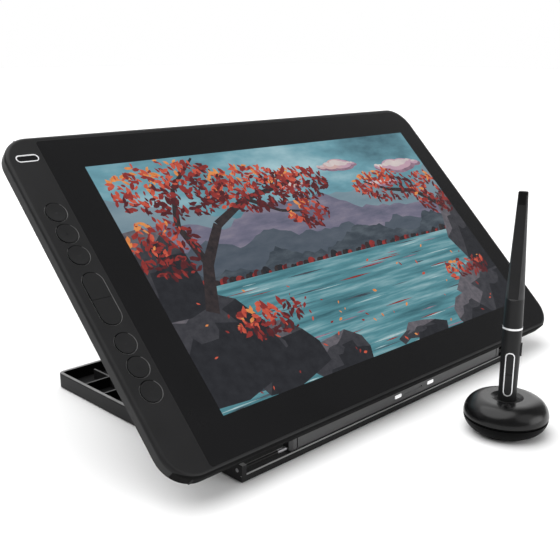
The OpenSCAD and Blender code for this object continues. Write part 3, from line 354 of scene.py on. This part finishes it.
pen_axis = box_middle("pen_ring")
outward = [p for p in nodes["pen_end_insert"].data.polygons
           if p.normal.dot((p.center - pen_axis) * Vector((1, 1, 0))) > 0]
flat_front = max(outward, key=lambda p: p.area).normal.copy()
flat_foot = Vector(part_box("pen_nib")[0]).z + FLAT_ABOVE_TIP
tree = tail_plastic.node_tree
# Painted highlight: the rear barrel's round sides are made lighter than the flat
painted_lit_sides = join(tree, "MULTIPLY", within(tree, facing(tree, flat_front), *BESIDE_FLAT),
              within(tree, place_along(tree, UP), flat_foot, flat_foot + TAIL_REACH))
overlay(tail_plastic, painted_lit_sides, [(0.034, 0.034, 0.035), (0.042, 0.042, 0.043)])


# The picture's place on the glass, in millimetres from the glass's lower left corner

PICTURE_W, PICTURE_H = 309.9, 174.3
PICTURE_U, PICTURE_V = 22.9, 23.1
SHEET_LIFT = 0.03

glass_points = [v.co for v in nodes["screen_glass"].data.vertices]
glass_left = min(p.dot(ACROSS) for p in glass_points)
glass_low = min(p.dot(up_face) for p in glass_points)
glass_front = max(p.dot(out_of_face) for p in glass_points)


def on_glass(u, v):
    """Point of the picture's sheet, in millimetres from its lower left corner."""
    return (ACROSS * (glass_left + (PICTURE_U + u) * MM)
            + up_face * (glass_low + (PICTURE_V + v) * MM)
            + out_of_face * (glass_front + SHEET_LIFT * MM))


# The picture's colours: tones from dark to light, the scale of the brushwork and its stretch

SCREEN_GLOW = 0.75
SCREEN_BLACK, SCREEN_ROUGH, SCREEN_SPEC = (0.01, 0.01, 0.012, 1), 0.2, 0.2
WIDE_TO_TALL = 1.78  # the picture's coordinates run from 0 to 1 both ways
ROUND_STROKES = (1, 1)

PAINTS = {
    "sky": ([(0.05, 0.14, 0.18), (0.17, 0.40, 0.48), (0.48, 0.72, 0.78)], 2.2, (0.7, 1.6)),
    "glow": ([(0.45, 0.30, 0.42), (0.62, 0.40, 0.50), (0.80, 0.55, 0.42)], 2.0, ROUND_STROKES),
    "cloud_light": ([(0.62, 0.52, 0.55), (0.86, 0.76, 0.72)], 8.0, ROUND_STROKES),
    "haze": ([(0.17, 0.27, 0.33), (0.27, 0.38, 0.44)], 5.0, (0.6, 2.0)),
    "far_range": ([(0.11, 0.12, 0.18), (0.19, 0.18, 0.26), (0.29, 0.26, 0.33)], 9.0, (0.6, 2.0)),
    "mid_range": ([(0.06, 0.085, 0.115), (0.11, 0.135, 0.17)], 10.0, (0.7, 1.8)),
    "near_range": ([(0.025, 0.04, 0.055), (0.055, 0.075, 0.095), (0.11, 0.14, 0.165)], 12.0, (0.7, 1.8)),
    "lake": ([(0.03, 0.13, 0.16), (0.10, 0.31, 0.36), (0.38, 0.60, 0.64)], 6.0, (0.35, 5.0)),
    "water_light": ([(0.35, 0.55, 0.58), (0.6, 0.76, 0.78)], 30.0, ROUND_STROKES),
    "rock_dark": ([(0.006, 0.007, 0.009), (0.02, 0.022, 0.026)], 26.0, ROUND_STROKES),
    "rock_mid": ([(0.025, 0.026, 0.032), (0.06, 0.06, 0.068)], 30.0, ROUND_STROKES),
    "rock_lit": ([(0.08, 0.08, 0.095), (0.19, 0.17, 0.19)], 34.0, ROUND_STROKES),
    "bark": ([(0.012, 0.009, 0.009), (0.045, 0.03, 0.028)], 40.0, ROUND_STROKES),
    "red_deep": ([(0.06, 0.005, 0.007), (0.14, 0.012, 0.012)], 40.0, ROUND_STROKES),
    "red_mid": ([(0.22, 0.018, 0.014), (0.40, 0.035, 0.025)], 40.0, ROUND_STROKES),
    "red_lit": ([(0.55, 0.06, 0.03), (0.80, 0.14, 0.07)], 40.0, ROUND_STROKES),
    "orange": ([(0.75, 0.20, 0.04), (1.0, 0.42, 0.12)], 40.0, ROUND_STROKES),
    "mauve": ([(0.22, 0.13, 0.19), (0.42, 0.26, 0.34)], 30.0, ROUND_STROKES),
}


def paint(name, tones, scale, stretch):
    """Lit picture colour: brushy tones in the picture's own coordinates, behind a glossy front."""
    mat, tree, shader = new_material(name)
    brush = noise(tree, coordinates(tree, "UV"), scale, detail=5.0, rough=0.6,
                  stretch=(stretch[0] * WIDE_TO_TALL, stretch[1], 1))
    step = (TONE_TO - TONE_FROM) / (len(tones) - 1)
    colour = ramp(tree, brush, [(TONE_FROM + step * i, t) for i, t in enumerate(tones)])
    tree.links.new(colour, shader.inputs["Emission Color"])
    shader.inputs["Emission Strength"].default_value = SCREEN_GLOW
    shader.inputs["Base Color"].default_value = SCREEN_BLACK
    shader.inputs["Roughness"].default_value = SCREEN_ROUGH
    shader.inputs["Specular IOR Level"].default_value = SCREEN_SPEC
    return mat


paints = {key: paint(f"picture_{key}", *row) for key, row in PAINTS.items()}
paint_order = list(paints)


# The picture on the screen: an autumn lake between rocks, in flat shapes, laid out in millimetres

rng = random.Random(7)
TURN = 6.28  # a full turn
CUT_TO_FACES, CUT_TO_TRIANGLES = 4, 0  # delaunay_2d_cdt's numbers for these kinds of result
CUT_NEAR = 1e-4  # points closer than this are taken as one
SMALLEST_SHAPE = 0.01  # square millimetres

# Layers from the back to the front, and the small step between shapes of one layer
SKY, CLOUD, RANGE, LAKE, GLINT, SHORE, ROCK, LEAVES, FALLEN = 0, 0.3, 1, 3, 3.2, 4.2, 5, 7, 11
CLOUD_STEP, PUFF_STEP, RANGE_STEP, GLINT_STEP, SHORE_STEP, ROCK_STEP = 0.12, 0.002, 0.3, 0.01, 0.004, 0.005
LEAVES_THICK = 3

# The least light for each tone
LEAF_TONES = [(0.62, "orange"), (0.3, "red_lit"), (-0.2, "red_mid"), (-math.inf, "red_deep")]
ROCK_TONES = [(0.5, "rock_lit"), (-0.05, "rock_mid"), (-math.inf, "rock_dark")]

# How the light falls on a plane or leaf: from the right, from above, and by chance either way
ROCK_LIGHT_RIGHT, ROCK_LIGHT_ABOVE, ROCK_LIGHT_CHANCE = -0.45, 0.8, 0.28
LEAF_LIGHT_RIGHT, LEAF_LIGHT_ABOVE, LEAF_LIGHT_CHANCE = -0.3, 0.5, 0.5

# Shapes, with the lowest and highest value where chance decides
LEAF_POINTS, LEAF_TIPS, TIP_LONG, TIP_SHORT, LEAF_SIZE = 6, (0, 3), 1.25, 0.9, 2.6
LEAF_FLAT, LEAF_UNEVEN, LEAF_SIZES = (0.45, 0.8), (0.7, 1.15), (0.6, 1.3)
ROCK_SIDES, ROCK_LEAN, ROCK_TURN = 11, 0.2, (0, 0.5)
ROCK_UNEVEN, RING_UNEVEN = (0.86, 1.1), (0.92, 1.08)
ROCK_RINGS = [(1.0, 0.0), (0.62, 0.14), (0.25, 0.3)]  # size and lift
DISC_STEPS = 22
PUFFS, PUFF_GAP, PUFF_LEFT, PUFF_WIDE, PUFF_TALL = 9, 0.2, -0.8, 1.5, 0.62
PUFF_SHIFT, PUFF_RISE, PUFF_SIZE, PUFF_TAPER = (-0.06, 0.06), (-0.03, 0.03), (0.13, 0.22), 1.15
CLOUD_COATS = [(0.0, 1.0, "mauve"), (0.03, 0.8, "glow"), (0.055, 0.45, "cloud_light")]  # shift, size, colour
CLOUD_SPREAD = 0.6

CLOUDS = [(210, 150, 40), (278, 142, 52), (150, 138, 30), (246, 128, 34), (310, 124, 36)]  # middle, width
RANGES = [  # points, lowest, highest, roughness, colour
    (40, 112, 152, 2.0, "haze"), (52, 100, 128, 2.2, "far_range"),
    (70, 88, 110, 2.0, "mid_range"), (84, 80, 98, 2.0, "near_range"),
]
RANGE_FOOT, SHORE_LINE, GLINT_TOP = 60, 76, 74
PEAK_EVERY = 6  # points from one peak to the next
GLINTS, GLINT_CROWD, GLINT_HALF_W, GLINT_HALF_H = 90, 1.4, (4, 20), (0.25, 0.8)
GLINT_TONES = ("water_light", "near_range", "red_mid", "mauve", "water_light")
SHRUBS, SHRUB_SIZE, SHRUB_TALL = 120, (1.6, 4.2), (0.8, 1.5)
SHRUB_TONES = ("red_deep", "near_range", "bark", "rock_dark", "red_mid")
ROCKS = [  # middle, half width, half height
    (20, 40, 46, 40), (62, 22, 34, 24), (8, 92, 30, 34), (104, 8, 30, 16),
    (296, 18, 44, 30), (258, 6, 30, 16), (306, 70, 26, 42), (186, 4, 26, 9),
]
BRANCHES = [  # path, half width at its foot, layer
    ([(30, 60), (46, 92), (70, 118), (104, 134), (142, 140), (176, 150)], 4.6, 6),
    ([(46, 92), (40, 122), (52, 150), (80, 172)], 3.2, 6.1),
    ([(104, 134), (128, 120), (150, 116)], 2.0, 6.2),
    ([(300, 96), (276, 116), (246, 122), (226, 132)], 3.0, 6.1),
]
CROWNS = [  # middle, half width, half height, leaves
    (52, 150, 46, 24, 320), (112, 142, 40, 20, 280), (160, 140, 28, 16, 170),
    (24, 108, 26, 22, 150), (152, 114, 20, 12, 90), (246, 126, 34, 16, 180),
    (296, 112, 24, 22, 150), (70, 46, 30, 12, 110), (276, 40, 26, 10, 80),
]
FALLEN_LEAVES, FALLEN_U, FALLEN_V, FALLEN_SIZE = 60, (10, 300), (4, 70), (0.8, 1.8)
FALLEN_TONES = ("red_lit", "orange", "red_mid")


def pairs(ring):
    """Each member of a ring with the one after it."""
    return zip(ring, ring[1:] + ring[:1])


def tone_for(light, tones):
    return next(tone for least, tone in tones if light > least)


def cut(outline, axis, limit, keep):
    """The part of an outline past a border: above the limit where keep is 1, below it where keep is -1."""
    kept = []
    for a, b in pairs(outline):
        a_stays, b_stays = (keep * (p[axis] - limit) >= 0 for p in (a, b))
        if a_stays:
            kept.append(a)
        if a_stays != b_stays:
            share = (limit - a[axis]) / (b[axis] - a[axis])
            kept.append(tuple(p + (q - p) * share for p, q in zip(a, b)))
    return kept


class Picture:
    """Collects flat shapes in layers, and makes one flat sheet of what is seen of them."""

    def __init__(self):
        self.points, self.shapes, self.colours, self.layers = [], [], [], []

    def add(self, outline, colour, layer):
        """Keeps the part of a shape inside the picture, counter-clockwise, unless it is too small to see."""
        for axis, size in enumerate((PICTURE_W, PICTURE_H)):
            outline = cut(cut(outline, axis, 0.0, 1), axis, size, -1)
        area = sum(a[0] * b[1] - b[0] * a[1] for a, b in pairs(outline)) / 2
        if abs(area) < SMALLEST_SHAPE:
            return
        start = len(self.points)
        self.points += outline if area > 0 else outline[::-1]
        self.shapes.append(list(range(start, len(self.points))))
        self.colours.append(paint_order.index(colour))
        self.layers.append(layer)

    def block(self, top, colour, layer):
        """The picture's full width from its lower border up to a height."""
        self.add([(0, 0), (PICTURE_W, 0), (PICTURE_W, top), (0, top)], colour, layer)

    def ridge(self, heights, base, colour, layer):
        """Band between a jagged line, given as equal steps, and a level base."""
        step = PICTURE_W / (len(heights) - 1)
        for i in range(len(heights) - 1):
            self.add([(i * step, base), ((i + 1) * step, base), ((i + 1) * step, heights[i + 1]),
                      (i * step, heights[i])], colour, layer)

    def leaf(self, u, v, size, colour, layer):
        """Small pointed blob with an uneven outline."""
        turn = rng.uniform(0, TURN)
        flat = rng.uniform(*LEAF_FLAT)
        outline = []
        for k in range(LEAF_POINTS):
            a = k * 2 * math.pi / LEAF_POINTS
            r = size * rng.uniform(*LEAF_UNEVEN) * (TIP_LONG if k in LEAF_TIPS else TIP_SHORT)
            x, y = r * math.cos(a), r * flat * math.sin(a)
            outline.append((u + x * math.cos(turn) - y * math.sin(turn),
                            v + x * math.sin(turn) + y * math.cos(turn)))
        self.add(outline, colour, layer)

    def rock(self, u, v, w, h, layer):
        """Faceted boulder, lighter on the planes that look up and to the left."""
        grow = [rng.uniform(*ROCK_UNEVEN) for _ in range(ROCK_SIDES)]
        turn = rng.uniform(*ROCK_TURN)
        rings = []
        for size, lift in ROCK_RINGS:
            ring = []
            for k in range(ROCK_SIDES):
                a = turn + k * 2 * math.pi / ROCK_SIDES
                r = size * grow[k] * rng.uniform(*RING_UNEVEN)
                ring.append((u + w * (r * math.cos(a) - ROCK_LEAN * lift), v + h * (r * math.sin(a) + lift)))
            rings.append(ring)
        for outer, inner in zip(rings, rings[1:]):
            for (a, b), (d, c) in zip(pairs(outer), pairs(inner)):
                right, above = ((a[0] + b[0]) / 2 - u) / w, ((a[1] + b[1]) / 2 - v) / h
                light = (ROCK_LIGHT_RIGHT * right + ROCK_LIGHT_ABOVE * above
                         + rng.uniform(-ROCK_LIGHT_CHANCE, ROCK_LIGHT_CHANCE))
                self.add([a, b, c, d], tone_for(light, ROCK_TONES), layer)
        self.add(rings[-1], "rock_mid", layer)

    def disc(self, u, v, ru, rv, colour, layer, sweep=2 * math.pi):
        """Smooth ellipse, or the first part of one where the sweep is smaller."""
        count = DISC_STEPS + (sweep < 2 * math.pi)
        angles = [sweep * k / DISC_STEPS for k in range(count)]
        self.add([(u + ru * math.cos(a), v + rv * math.sin(a)) for a in angles], colour, layer)

    def cloud(self, u, v, w, layer):
        """Drifting heap of rounded puffs, in mauve with lit tops."""
        places = [PUFF_LEFT + PUFF_GAP * k + rng.uniform(*PUFF_SHIFT) for k in range(PUFFS)]
        puffs = [(x, rng.uniform(*PUFF_RISE), rng.uniform(*PUFF_SIZE) * (PUFF_TAPER - abs(x)))
                 for x in places]
        for shift, size, tone in CLOUD_COATS:
            for k, (x, y, r) in enumerate(puffs):
                self.disc(u + (x - shift) * w * CLOUD_SPREAD, v + (y + shift) * w,
                          r * w * size * PUFF_WIDE, r * w * size * PUFF_TALL, tone,
                          layer + shift + PUFF_STEP * k)

    def branch(self, path, width, layer):
        """Tapering stroke along a path."""
        for i, ((u0, v0), (u1, v1)) in enumerate(zip(path, path[1:])):
            w0 = width * (1 - i / len(path))
            w1 = width * (1 - (i + 1) / len(path))
            length = math.hypot(u1 - u0, v1 - v0)
            nu, nv = -(v1 - v0) / length, (u1 - u0) / length
            self.add([(u0 + nu * w0, v0 + nv * w0), (u0 - nu * w0, v0 - nv * w0),
                      (u1 - nu * w1, v1 - nv * w1), (u1 + nu * w1, v1 + nv * w1)], "bark", layer)

    def crown(self, u, v, ru, rv, count):
        """Cloud of leaves, deep at the bottom and lit at the top left."""
        for i in range(count):
            a, r = rng.uniform(0, TURN), math.sqrt(rng.uniform(0, 1))
            x, y = r * math.cos(a), r * math.sin(a)
            light = (LEAF_LIGHT_ABOVE * y + LEAF_LIGHT_RIGHT * x
                     + rng.uniform(-LEAF_LIGHT_CHANCE, LEAF_LIGHT_CHANCE))
            self.leaf(u + ru * x, v + rv * y, LEAF_SIZE * rng.uniform(*LEAF_SIZES),
                      tone_for(light, LEAF_TONES), LEAVES + LEAVES_THICK * i / count)

    def holds(self, shape, point):
        """Whether a shape's box holds a point. The cutting may name a shape on its wrong side."""
        for axis in (0, 1):
            reach = [self.points[k][axis] for k in self.shapes[shape]]
            if not min(reach) - CUT_NEAR <= point[axis] <= max(reach) + CUT_NEAR:
                return False
        return True

    def cells(self):
        """Cuts the shapes along each other's edges: the points, the cells and the colour seen in each."""
        points, _, cells, _, _, shapes_at = delaunay_2d_cdt(
            [Vector(p) for p in self.points], [], self.shapes, CUT_TO_FACES, CUT_NEAR)
        colours = []
        for cell, found in zip(cells, shapes_at):
            held = [i for i in found if self.holds(i, points[cell[0]])]
            colours.append(self.colours[max(held, key=lambda i: self.layers[i])])
        return points, cells, colours

    def build(self, name):
        """Triangles between the lines where the colour changes, each coloured by the cell it lies in."""
        points, cells, colours = self.cells()
        beside_edge = {}
        for cell, colour in zip(cells, colours):
            for edge in pairs(cell):
                beside_edge.setdefault(tuple(sorted(edge)), []).append(colour)
        lines = [edge for edge, found in beside_edge.items() if len(found) == 1 or found[0] != found[1]]
        used = sorted({k for line in lines for k in line})
        number = {k: i for i, k in enumerate(used)}
        spots, _, faces, *_ = delaunay_2d_cdt(
            [points[k] for k in used], [(number[a], number[b]) for a, b in lines], [],
            CUT_TO_TRIANGLES, CUT_NEAR)
        mesh = bpy.data.meshes.new(name)
        mesh.from_pydata([on_glass(u, v) for u, v in spots], [], faces)
        for key in paint_order:
            mesh.materials.append(paints[key])
        where = BVHTree.FromPolygons([(*p, 0) for p in points], cells)
        for polygon, face in zip(mesh.polygons, faces):
            middle = sum((spots[k] for k in face), Vector((0, 0))) / 3
            polygon.material_index = colours[where.find_nearest((*middle, 0))[2]]
        uv = mesh.uv_layers.new(name="picture")
        for loop in mesh.loops:
            u, v = spots[loop.vertex_index]
            uv.data[loop.index].uv = u / PICTURE_W, v / PICTURE_H
        obj = bpy.data.objects.new(name, mesh)
        bpy.context.scene.collection.objects.link(obj)
        return obj


def jagged(count, low, high, rough):
    """Heights of a mountain line."""
    line = [rng.uniform(low, high) for _ in range(count // PEAK_EVERY + 2)]
    out = []
    for i in range(count):
        t = i / count * (len(line) - 1)
        k = int(t)
        out.append(line[k] + (line[k + 1] - line[k]) * (t - k) + rng.uniform(-rough, rough))
    return out


def paint_picture():
    """Lays the picture's shapes from the sky to the fallen leaves."""
    pic = Picture()
    pic.block(PICTURE_H, "sky", SKY)
    for k, cloud in enumerate(CLOUDS):
        pic.cloud(*cloud, CLOUD + CLOUD_STEP * k)
    for k, (*line, tone) in enumerate(RANGES):
        pic.ridge(jagged(*line), RANGE_FOOT, tone, RANGE + RANGE_STEP * k)
    pic.block(SHORE_LINE, "lake", LAKE)
    for k in range(GLINTS):
        u, v = rng.uniform(0, PICTURE_W), GLINT_TOP * rng.uniform(0, 1) ** GLINT_CROWD
        w, h = rng.uniform(*GLINT_HALF_W), rng.uniform(*GLINT_HALF_H)
        pic.add([(u - w, v), (u, v - h), (u + w, v), (u, v + h)], GLINT_TONES[k % len(GLINT_TONES)],
                GLINT + GLINT_STEP * k)
    for k in range(SHRUBS):
        r = rng.uniform(*SHRUB_SIZE)
        pic.disc(PICTURE_W * k / (SHRUBS - 1), SHORE_LINE, r, r * rng.uniform(*SHRUB_TALL),
                 SHRUB_TONES[k % len(SHRUB_TONES)], SHORE + SHORE_STEP * k, sweep=math.pi)
    for u, v, w, h in ROCKS:
        pic.rock(u, v, w, h, ROCK + v * ROCK_STEP)
    for branch in BRANCHES:
        pic.branch(*branch)
    for crown in CROWNS:
        pic.crown(*crown)
    for k in range(FALLEN_LEAVES):
        pic.leaf(rng.uniform(*FALLEN_U), rng.uniform(*FALLEN_V), rng.uniform(*FALLEN_SIZE),
                 FALLEN_TONES[k % len(FALLEN_TONES)], FALLEN)
    return pic.build("screen_picture")


picture = paint_picture()
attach(picture, "tablet")


# Floor, light and camera

FLOOR_HALF, FLOOR_DROP = 8.0, 0.1 * MM
FLOOR_ROUGH, FLOOR_SPEC, FLOOR_PATCH = 0.9, 0.1, 1.5
SUN_FROM, SUN_WIDE, SUN_POWER = (-0.30, 0.20, 0.93), 70, 3.0
SURROUND, SEEN_WHITE = 0.25, 1.0
SOFT_LIGHTS = [  # direction, cosine at its edge, cosine where it is full, strength
    ((0.58, 0.72, 0.38), 0.62, 0.9, 1.45),
    ((0.1, -0.75, 0.65), 0.87, 0.96, 1.0),
    ((0.5, -0.86, 0.1), 0.88, 0.97, 3.0),
]
CAMERA_PLACE = (-0.4153, -0.3574, 0.2291)
CAMERA_FORWARD = (0.678, 0.685, -0.267)
CAMERA_UP = (0.186, 0.192, 0.964)
CAMERA_SENSOR, CAMERA_LENS = 36.0, 54.05
CAMERA_NEAR, CAMERA_FAR = 0.01, 50.0


def add_floor():
    mesh = bpy.data.meshes.new("floor")
    s = FLOOR_HALF
    mesh.from_pydata([(-s, -s, 0), (s, -s, 0), (s, s, 0), (-s, s, 0)], [], [(0, 1, 2, 3)])
    mat, tree, shader = new_material("floor_white")
    patch = noise(tree, coordinates(tree, "Object"), FLOOR_PATCH)
    tone = ramp(tree, patch, [(TONE_FROM, grey(0.86)), (TONE_TO, grey(0.88))])
    tree.links.new(tone, shader.inputs["Base Color"])
    shader.inputs["Roughness"].default_value = FLOOR_ROUGH
    shader.inputs["Specular IOR Level"].default_value = FLOOR_SPEC
    mesh.materials.append(mat)
    floor = bpy.data.objects.new("floor", mesh)
    bpy.context.scene.collection.objects.link(floor)
    floor.location.z = -FLOOR_DROP


def add_sun():
    """Broad overhead light that falls evenly on the whole floor."""
    data = bpy.data.lights.new("overhead", "SUN")
    data.energy = SUN_POWER
    data.angle = math.radians(SUN_WIDE)
    lamp = bpy.data.objects.new("overhead", data)
    lamp.rotation_mode = "QUATERNION"
    lamp.rotation_quaternion = Vector(SUN_FROM).to_track_quat("Z", "Y")
    bpy.context.scene.collection.objects.link(lamp)


def add_world():
    """White surround: dim, with brighter soft patches, and plain white where it is seen."""
    world = bpy.data.worlds.new("studio")
    world.use_nodes = True
    tree = world.node_tree
    tree.nodes.clear()
    out = tree.nodes.new("ShaderNodeOutputWorld")
    path = tree.nodes.new("ShaderNodeLightPath")
    mix = tree.nodes.new("ShaderNodeMixShader")
    ways = coordinates(tree, "Generated")
    dim = SURROUND / len(SOFT_LIGHTS)
    total = None
    for way, edge, full, strength in SOFT_LIGHTS:
        patch = tree.nodes.new("ShaderNodeMapRange")
        patch.interpolation_type = "SMOOTHSTEP"
        patch.inputs["From Min"].default_value = edge
        patch.inputs["From Max"].default_value = full
        patch.inputs["To Min"].default_value = dim
        patch.inputs["To Max"].default_value = dim + strength
        tree.links.new(measure(tree, ways, Vector(way).normalized()), patch.inputs["Value"])
        light = patch.outputs["Result"]
        total = light if total is None else join(tree, "ADD", total, light)
    lit = tree.nodes.new("ShaderNodeBackground")
    tree.links.new(total, lit.inputs["Strength"])
    plain = tree.nodes.new("ShaderNodeBackground")
    plain.inputs["Strength"].default_value = SEEN_WHITE
    for i, shader in enumerate((lit, plain)):
        shader.inputs["Color"].default_value = (1, 1, 1, 1)
        tree.links.new(shader.outputs["Background"], mix.inputs[i + 1])
    tree.links.new(path.outputs["Is Camera Ray"], mix.inputs["Fac"])
    tree.links.new(mix.outputs["Shader"], out.inputs["Surface"])
    bpy.context.scene.world = world


def add_camera():
    forward = Vector(CAMERA_FORWARD).normalized()
    right = forward.cross(Vector(CAMERA_UP)).normalized()
    data = bpy.data.cameras.new("camera")
    data.sensor_width = CAMERA_SENSOR
    data.lens = CAMERA_LENS
    data.clip_start, data.clip_end = CAMERA_NEAR, CAMERA_FAR
    camera = bpy.data.objects.new("camera", data)
    place = Matrix((right, right.cross(forward), -forward)).transposed().to_4x4()
    place.translation = CAMERA_PLACE
    camera.matrix_world = place
    bpy.context.scene.collection.objects.link(camera)
    bpy.context.scene.camera = camera


add_floor()
add_world()
add_sun()
add_camera()
bpy.context.scene.view_settings.view_transform = "Standard"
